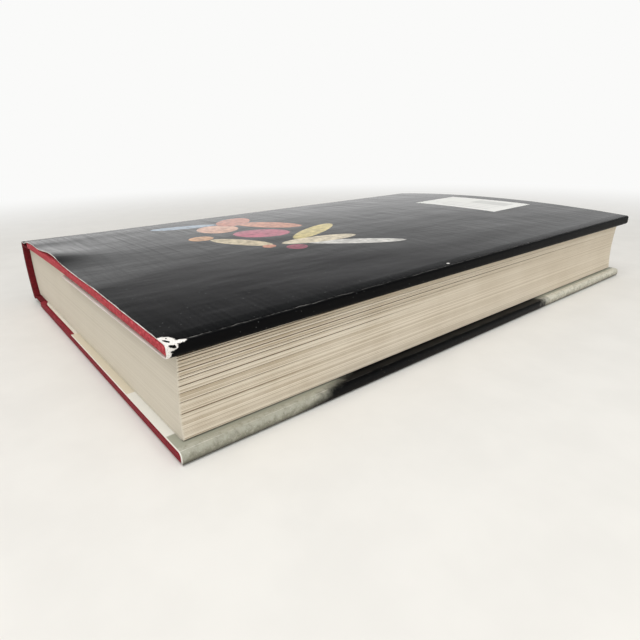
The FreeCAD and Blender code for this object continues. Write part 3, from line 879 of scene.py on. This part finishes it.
def cover_rise(side, x, y):
    return warp(x, y) if side == BACK else 0.0


def joint_rise(side, x, y):
    """What is left of the cover's rise at a place in the joint."""
    settled = smooth((x - BOARD_END_X) / (FOOT_X - BOARD_END_X))
    return cover_rise(side, BOARD_END_X, y) * (1 - settled)


def rounded_outline(x0, x1, y0, y1, corner, per_side):
    """Points round a rectangle whose corners are rounded, one after the other."""
    turns = []
    for x, y, start in ((x0, y1, 180), (x1, y1, 90), (x1, y0, 0), (x0, y0, -90)):
        centre_x = x + math.copysign(corner, (x0 + x1) / 2 - x)
        centre_y = y + math.copysign(corner, (y0 + y1) / 2 - y)
        turns.append(arc((centre_x, centre_y), corner, start, start - 90, ROUND_STEPS + 1))
    outline = []
    for turn, after in zip(turns, turns[1:] + turns[:1]):
        (ax, ay), (bx, by) = turn[-1], after[0]
        between = spread(0, 1, per_side)[1:-1]
        outline += turn
        outline += [(ax + (bx - ax) * t, ay + (by - ay) * t) for t in between]
    return outline


def make_cover_cloth(side, name, node, body, cloth):
    """Cloth drawn round a board, in loops that run once round it: from the middle of its
    outer face, over the rounded rim, to the middle of its inner face."""
    low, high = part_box(node)
    half = (CLOTH_LEVEL - TURN_IN_LEVEL) / 2
    centre = MIDDLE_Z + side * (CLOTH_LEVEL + TURN_IN_LEVEL) / 2
    rim = arc((RIM_ROUND, half - RIM_ROUND), RIM_ROUND, 90, 180, ROUND_STEPS + 1)
    upper = [(inset * MM, half) for inset in CLOTH_INSETS] + rim
    loops = upper + [(inset, -up) for inset, up in reversed(upper)]
    points, faces = [], []
    for inset, up in loops:
        x0, x1, y0, y1 = low.x + inset, BOARD_END_X - inset, low.y + inset, high.y - inset
        outline = rounded_outline(x0, x1, y0, y1, CORNER_ROUND, 40)
        points += [Vector((x, y, centre + cover_rise(side, x, y) + side * up)) for x, y in outline]
    count = len(outline)
    for j in range(len(loops) - 1):
        for i in range(count):
            a, b = j * count + i, j * count + (i + 1) % count
            quad = (a, b, b + count, a + count)
            faces.append(quad if side == FRONT else quad[::-1])
    outer_cap = tuple(range(count))
    inner_cap = tuple(range(len(points) - count, len(points)))
    faces.append(outer_cap[::-1] if side == BACK else outer_cap)
    faces.append(inner_cap if side == BACK else inner_cap[::-1])
    piece = add_mesh(name, points, faces, [0] * len(faces), [cloth])
    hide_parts(node)
    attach(piece, body)


def make_strip(name, line_at, rows, thickness, material, flip, node, own_y=None):
    """A strip through a joint, laid out from its line at each row."""
    grid, places = laid_out(line_at, rows, own_y=own_y)
    piece = make_sheet(name, grid, places, thickness, [material] * 3, flip)
    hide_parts(node)
    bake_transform(piece)


def make_joint_cloth(side, name):
    """Cloth from a board down into the joint and up to the edge of the spine."""
    overlap = 1.2 * MM

    def line_at(y):
        line = []
        for x in spread(BOARD_END_X - overlap, FOOT_X, 14):
            line.append((x, MIDDLE_Z + side * JOINT_CLOTH_LEVEL + joint_rise(side, x, y)))
        for t in spread(0, 1, 9)[1:]:
            level = JOINT_CLOTH_LEVEL + (CLOTH_CREST - JOINT_CLOTH_LEVEL) * smooth(t)
            line.append((FOOT_X + (RIM_X - FOOT_X) * t, MIDDLE_Z + side * level))
        line.append((FOLD_X + 0.4 * MM, MIDDLE_Z + side * (CLOTH_CREST - 0.02 * MM)))
        return line

    rows = spread(HEAD_Y, TAIL_Y, 50)
    make_strip(name, line_at, rows, CLOTH_THICK, SHADED_STRIP_CLOTH, -side, "spine_cloth")


def make_wing(side, name):
    """The lining's wing, between the cloth and the endpaper under the joint."""
    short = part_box("spine_lining")[1].y

    def line_at(y):
        stations = spread(BOARD_END_X - 1.0 * MM, FOLD_X, 14)
        return [(x, MIDDLE_Z + side * WING_LEVEL + joint_rise(side, x, y)) for x in stations]

    rows = spread(short, -short, 24)
    make_strip(name, line_at, rows, WING_THICK, STRIP_LINING, -side, "spine_lining")


def make_pastedown(side, name, node):
    """Endpaper half pasted on the board, which runs down through the joint to its fold."""
    start_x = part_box(node)[0].x - PASTE_REACH
    bend_x = BOARD_END_X - 0.5 * MM
    inset = HEAD_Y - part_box(node)[1].y - PASTE_REACH

    def line_at(y):
        line = []
        for x in spread(start_x, bend_x, 40):
            line.append((x, MIDDLE_Z + side * PASTE_LEVEL + cover_rise(side, x, y)))
        for t in spread(0, 1, 12)[1:]:
            x = bend_x + (FOLD_X - bend_x) * t
            level = PASTE_LEVEL + (LEAF_LEVEL - PASTE_LEVEL) * smooth(t * 1.6)
            line.append((x, MIDDLE_Z + side * level + joint_rise(side, x, y)))
        return line

    def own_y(x, index, y):
        share = PASTE_NARROWING / (HEAD_Y - inset)
        return y * (1 - share * smooth((x - BOARD_END_X + 9 * MM) / (7 * MM)))

    rows = spread(HEAD_Y - inset, TAIL_Y + inset, 60)
    make_strip(name, line_at, rows, LEAF_THICK, ENDPAPER, side, node, own_y)


def make_flyleaf(side, name, node):
    """Free endpaper, lying on the pages."""
    def line_at(y):
        start = page_fore(side * PAGES_HALF, y) + FLYLEAF_IN[side]
        return [(x, MIDDLE_Z + side * LEAF_LEVEL) for x in spread(start, FOLD_X, 30)]

    grid, places = laid_out(line_at, spread(LEAF_HIGH.y, LEAF_LOW.y, 60))
    piece = make_sheet(name, grid, places, LEAF_THICK, [ENDPAPER] * 3, -side)
    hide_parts(node)
    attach(piece, "book_block")


def make_band(name, outer, inner, rows, material):
    """A layer between two lines of points, the same from the head to the tail."""
    grid, places = laid_out(lambda y: outer, rows)
    under = laid_out(lambda y: inner, rows)[0]
    return make_sheet(name, grid, places, 0, [material] * 3, -1, under)


def make_spine_band(name, node, offsets, crests, rows, material):
    """A layer round the spine between two faces, given by their offsets outside the pages'
    back and their crests."""
    outer, inner = (spine_line(offset, crest) for offset, crest in zip(offsets, crests))
    piece = make_band(name, outer, inner, rows, material)
    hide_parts(node)
    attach(piece, "book_block")


def make_spine_cases():
    """Cloth over the spine's card, and its ends turned in over the card at head and tail."""
    outer, inner = 2.25 * MM, 0.42 * MM
    under_crest = CLOTH_CREST - CLOTH_THICK
    offsets, crests = (outer, outer - CLOTH_THICK), (CLOTH_CREST, under_crest)
    rows = rows_down(10, 30)
    make_spine_band("spine_case", "spine_cloth", offsets, crests, rows, SHADED_STRIP_CLOTH)
    start, stop = 0.15 * MM, 4.8 * MM
    offsets = (outer - CLOTH_THICK * 1.05, inner)
    crests = (under_crest, CLOTH_CREST - 1.2 * MM)
    for name, y, toward in (("turned_head", HEAD_Y, -1), ("turned_tail", TAIL_Y, 1)):
        ends = sorted((y + toward * start, y + toward * stop), reverse=True)
        rows = spread(*ends, 5)
        make_spine_band(name, "spine_cloth", offsets, crests, rows, SHADED_STRIP_CLOTH)


def make_lining_back():
    """Lining glued on the pages' rounded back."""
    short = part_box("spine_lining")[1].y
    rows = spread(short, -short, 12)

    def line(offset):
        radius = BACK_RADIUS + offset
        turn = math.degrees(math.asin(PAGES_HALF / BACK_RADIUS))
        return [(x, MIDDLE_Z + z) for x, z in arc((BACK_CENTRE_X, 0), radius, turn, -turn, 25)]

    outer, inner = line(LINING_GAP + LINING_THICK), line(LINING_GAP)
    piece = make_band("lining_back", outer, inner, rows, STRIP_LINING)
    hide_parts("spine_lining")
    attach(piece, "book_block")


# Pages

FORE_HOLLOW = 0.7 * MM
FORE_LEAN = 2.3 * MM
LEAN_REACH = 75 * MM
GAP_HALF = 0.1 * MM

# Rows of the stack, and steps of a row's outline along the head, the back and the tail, with
# its stations up the fore-edge
ROWS = 301
HEAD_STEPS, BACK_STEPS, TAIL_STEPS = 23, 13, 15
FORE_STATIONS = rows_down(20, 84)[:0:-1]
ROW_STEP = 2 * PAGES_HALF / (ROWS - 1)

# The lowest pages stand a little further in, in millimetres by row
FOOT_IN = {0: 1.3, 1: 1.1, 2: 0.5}

# Open gaps between the pages at the fore-edge: millimetres under the top, how deep they are
# at the head, and over what distance they close towards the tail
GAPS = [
    (0.15, 0.9, 150),
    (0.62, 1.2, 190),
    (1.35, 0.5, 60),
    (2.2, 1.1, 130),
    (2.95, 0.9, 110),
    (4.05, 1.2, 140),
    (5.35, 1.0, 100),
    (6.2, 0.8, 70),
    (8.0, 0.8, 60),
    (9.9, 0.6, 50),
    (12.4, 0.4, 40),
    (15.6, 0.35, 40),
]


def page_fore(level, y):
    """Station of the fore-edge: hollow, and with the upper pages further out at the head."""
    up = level / PAGES_HALF
    hollow = FORE_HOLLOW * (1 - up * up)
    lean = FORE_LEAN * smooth((up + 0.9) / 1.9) * math.exp(-((HEAD_Y - y) / LEAN_REACH))
    return PAGES_LOW.x + hollow - lean


def page_set_back(depth_from_top, y, random_in, row):
    """How far one row of the stack stands back at the fore-edge."""
    from_head = (PAGES_HIGH.y - y) / MM
    back = random_in + 0.012 * rough(from_head / 40, row * 0.71, 0, 2)
    for gap, depth, reach in GAPS:
        if abs(depth_from_top - gap * MM) < GAP_HALF:
            back += depth * math.exp(-(from_head / reach) ** 2) * smooth(from_head / 0.8)
    return back * MM


def page_outline(level, head_y, tail_y, random_in, row):
    """One row of the stack as (x, y): along the head, down the back, along the tail and up
    the fore-edge."""
    def fore(y):
        set_back = page_set_back(PAGES_HALF - level, y, random_in, row)
        return page_fore(level, y) + set_back

    back_x = BACK_CENTRE_X + math.sqrt(BACK_RADIUS ** 2 - level ** 2)
    fore_head, fore_tail = fore(head_y), fore(tail_y)
    outline = []
    for t in spread(0, 1, HEAD_STEPS + 1)[:-1]:
        outline.append((fore_head + (back_x - fore_head) * t, head_y))
    for t in spread(0, 1, BACK_STEPS + 1)[:-1]:
        outline.append((back_x, head_y + (tail_y - head_y) * t))
    for t in spread(1, 0, TAIL_STEPS + 1)[:-1]:
        outline.append((fore_tail + (back_x - fore_tail) * t, tail_y))
    for y in FORE_STATIONS:
        y = min(max(y, tail_y), head_y)
        outline.append((fore(y), y))
    return outline


def make_text_block():
    """The pages: a fine stack of rows, each a little in or out, and some standing open."""
    chance = random.Random(7)
    points, sheet = [], []
    for row in range(ROWS):
        level = -PAGES_HALF + row * ROW_STEP
        random_in = abs(chance.gauss(0, 0.022)) + FOOT_IN.get(row, 0)
        end_in = abs(chance.gauss(0, 0.018)) * MM
        ends = PAGES_HIGH.y - end_in, PAGES_LOW.y + end_in
        outline = page_outline(level, *ends, random_in, row)
        points += [Vector((x, y, MIDDLE_Z + level)) for x, y in outline]
        sheet += [((x - page_fore(level, y)) / MM, (HEAD_Y - y) / MM) for x, y in outline]
    count = len(outline)
    back_start = HEAD_STEPS
    tail_start = back_start + BACK_STEPS
    fore_start = tail_start + TAIL_STEPS
    # The kinds of faces have one look, and only make the corners between the sides sharp
    faces, kinds = [], []
    for j in range(ROWS - 1):
        for i in range(count):
            a, b = j * count + i, j * count + (i + 1) % count
            faces.append((a, a + count, b + count, b))
            kinds.append(1 if i < back_start or tail_start <= i < fore_start else 0)
    faces.append(tuple(range(count)))
    faces.append(tuple(range((ROWS - 1) * count, ROWS * count))[::-1])
    piece = add_mesh("pages", points, faces, [*kinds, 2, 2], [PAGES] * 3, sheet)
    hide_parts("text_block")
    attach(piece, "book_block")


bpy.context.scene.view_settings.view_transform = "Standard"
for node in ("front_board", "back_board", "spine_inlay"):
    carried = frame["nodes"][node]
    carried.data.materials.clear()
    carried.data.materials.append(BOARD)

make_text_block()
make_spine_cases()
make_lining_back()
for side, prefix in ((FRONT, "front"), (BACK, "back")):
    make_flyleaf(side, f"{prefix}_flyleaf", f"{prefix}_endpaper")
    make_pastedown(side, f"{prefix}_pastedown_sheet", f"{prefix}_pastedown")
    make_wing(side, f"{prefix}_wing")
    make_joint_cloth(side, f"{prefix}_joint_cloth")
    make_cover_cloth(side, f"{prefix}_case_cloth", f"{prefix}_cloth", f"{prefix}_cover", CLOTHS[side])
make_cover_jacket(BACK, "jacket_back_sheet", "jacket_back", BACK_PRINT)
make_cover_jacket(FRONT, "jacket_front_sheet", "jacket_front", FRONT_PRINT)
make_jacket_spine()


# Camera, floor and light

BACKDROP = (250, 250, 249)
FLOOR_HALF = 3.0
FLOOR_DROP = 0.02 * MM
CAMERA_PLACE = Vector((-172.0, 152.2, 68.6)) * MM


def make_camera():
    """The photograph's camera, solved from the corners and edges of the boards and pages."""
    right = Vector((-0.63529, -0.77207, -0.01744))
    up = Vector((0.26038, -0.23541, 0.93637))
    back = right.cross(up).normalized()
    data = bpy.data.cameras.new("camera")
    image_width, focal_pixels = 640, 481.2
    data.sensor_width = 36.0
    data.lens = data.sensor_width * focal_pixels / image_width
    data.clip_start = 0.01
    camera = bpy.data.objects.new("camera", data)
    turn = Matrix((right, up, back)).transposed()
    camera.matrix_world = Matrix.Translation(CAMERA_PLACE) @ turn.to_4x4()
    bpy.context.scene.collection.objects.link(camera)
    bpy.context.scene.camera = camera


def make_floor():
    """A pale table that fades to the white behind it."""
    look = Look("floor")
    place = look.place()
    grain = look.noise(place, 0.05, 3.0)
    look.finish(look.mix(look.beyond(grain, 0.3, 0.7), (229, 227, 222), (233, 231, 226)), 0.6)
    glow = look.tree.nodes.new("ShaderNodeEmission")
    glow.inputs["Color"].default_value = rgb(BACKDROP)
    path = look.tree.nodes.new("ShaderNodeLightPath")
    far = look.beyond(look.reach(place), 200.0, 620.0)
    seen = look.times(path.outputs["Is Camera Ray"], far)
    mixer = look.tree.nodes.new("ShaderNodeMixShader")
    look.put(mixer.inputs[0], seen)
    look.put(mixer.inputs[1], look.shader.outputs[0])
    look.put(mixer.inputs[2], glow.outputs[0])
    output = next(n for n in look.tree.nodes if n.type == "OUTPUT_MATERIAL")
    look.put(output.inputs[0], mixer.outputs[0])
    signs = ((-1, -1), (1, -1), (1, 1), (-1, 1))
    corners = [Vector((x * FLOOR_HALF, y * FLOOR_HALF, 0)) for x, y in signs]
    floor = add_mesh("floor", corners, [(0, 1, 2, 3)], [0], [look.material])
    floor.location.z = -FLOOR_DROP


def make_light(name, place, aim, size, power):
    """A round lamp, in metres and watts."""
    data = bpy.data.lights.new(name, "AREA")
    data.shape = "DISK"
    data.size = size
    data.energy = power
    light = bpy.data.objects.new(name, data)
    light.location = place
    light.rotation_euler = (Vector(aim) - Vector(place)).to_track_quat("-Z", "Y").to_euler()
    bpy.context.scene.collection.objects.link(light)


def make_world():
    """White for the camera and near the horizon in reflections, dim overhead in them, and
    an even soft light for everything else."""
    world = bpy.data.worlds.new("studio")
    bpy.context.scene.world = world
    world.use_nodes = True
    tree = world.node_tree
    tree.nodes.clear()
    path = tree.nodes.new("ShaderNodeLightPath")
    coordinates = tree.nodes.new("ShaderNodeTexCoord")
    split = tree.nodes.new("ShaderNodeSeparateXYZ")
    tree.links.new(coordinates.outputs["Generated"], split.inputs[0])
    fall = tree.nodes.new("ShaderNodeMapRange")
    fall.interpolation_type = "SMOOTHSTEP"
    tree.links.new(split.outputs[2], fall.inputs["Value"])
    for key, value in {"From Min": 0.05, "From Max": 0.42, "To Min": 1.0, "To Max": 0.05}.items():
        fall.inputs[key].default_value = value

    def background(colour, strength):
        node = tree.nodes.new("ShaderNodeBackground")
        node.inputs["Color"].default_value = colour
        if isinstance(strength, bpy.types.NodeSocket):
            tree.links.new(strength, node.inputs["Strength"])
        else:
            node.inputs["Strength"].default_value = strength
        return node

    def choose(chooser, first, second):
        node = tree.nodes.new("ShaderNodeMixShader")
        tree.links.new(chooser, node.inputs[0])
        tree.links.new(first.outputs[0], node.inputs[1])
        tree.links.new(second.outputs[0], node.inputs[2])
        return node

    light = background((1.0, 0.99, 0.97, 1.0), 0.62)
    mirrored = background((1.0, 1.0, 1.0, 1.0), fall.outputs[0])
    seen = background(rgb(BACKDROP), 1.0)
    glossy = choose(path.outputs["Is Glossy Ray"], light, mirrored)
    final = choose(path.outputs["Is Camera Ray"], glossy, seen)
    output = tree.nodes.new("ShaderNodeOutputWorld")
    tree.links.new(final.outputs[0], output.inputs[0])


make_camera()
make_floor()
make_world()
make_light("overhead", (-0.25, 0.35, 0.9), (0, 0, 0), 0.7, 5.0)
make_light("side", (-0.9, -0.1, 0.5), (0, 0, 0), 0.6, 1.5)
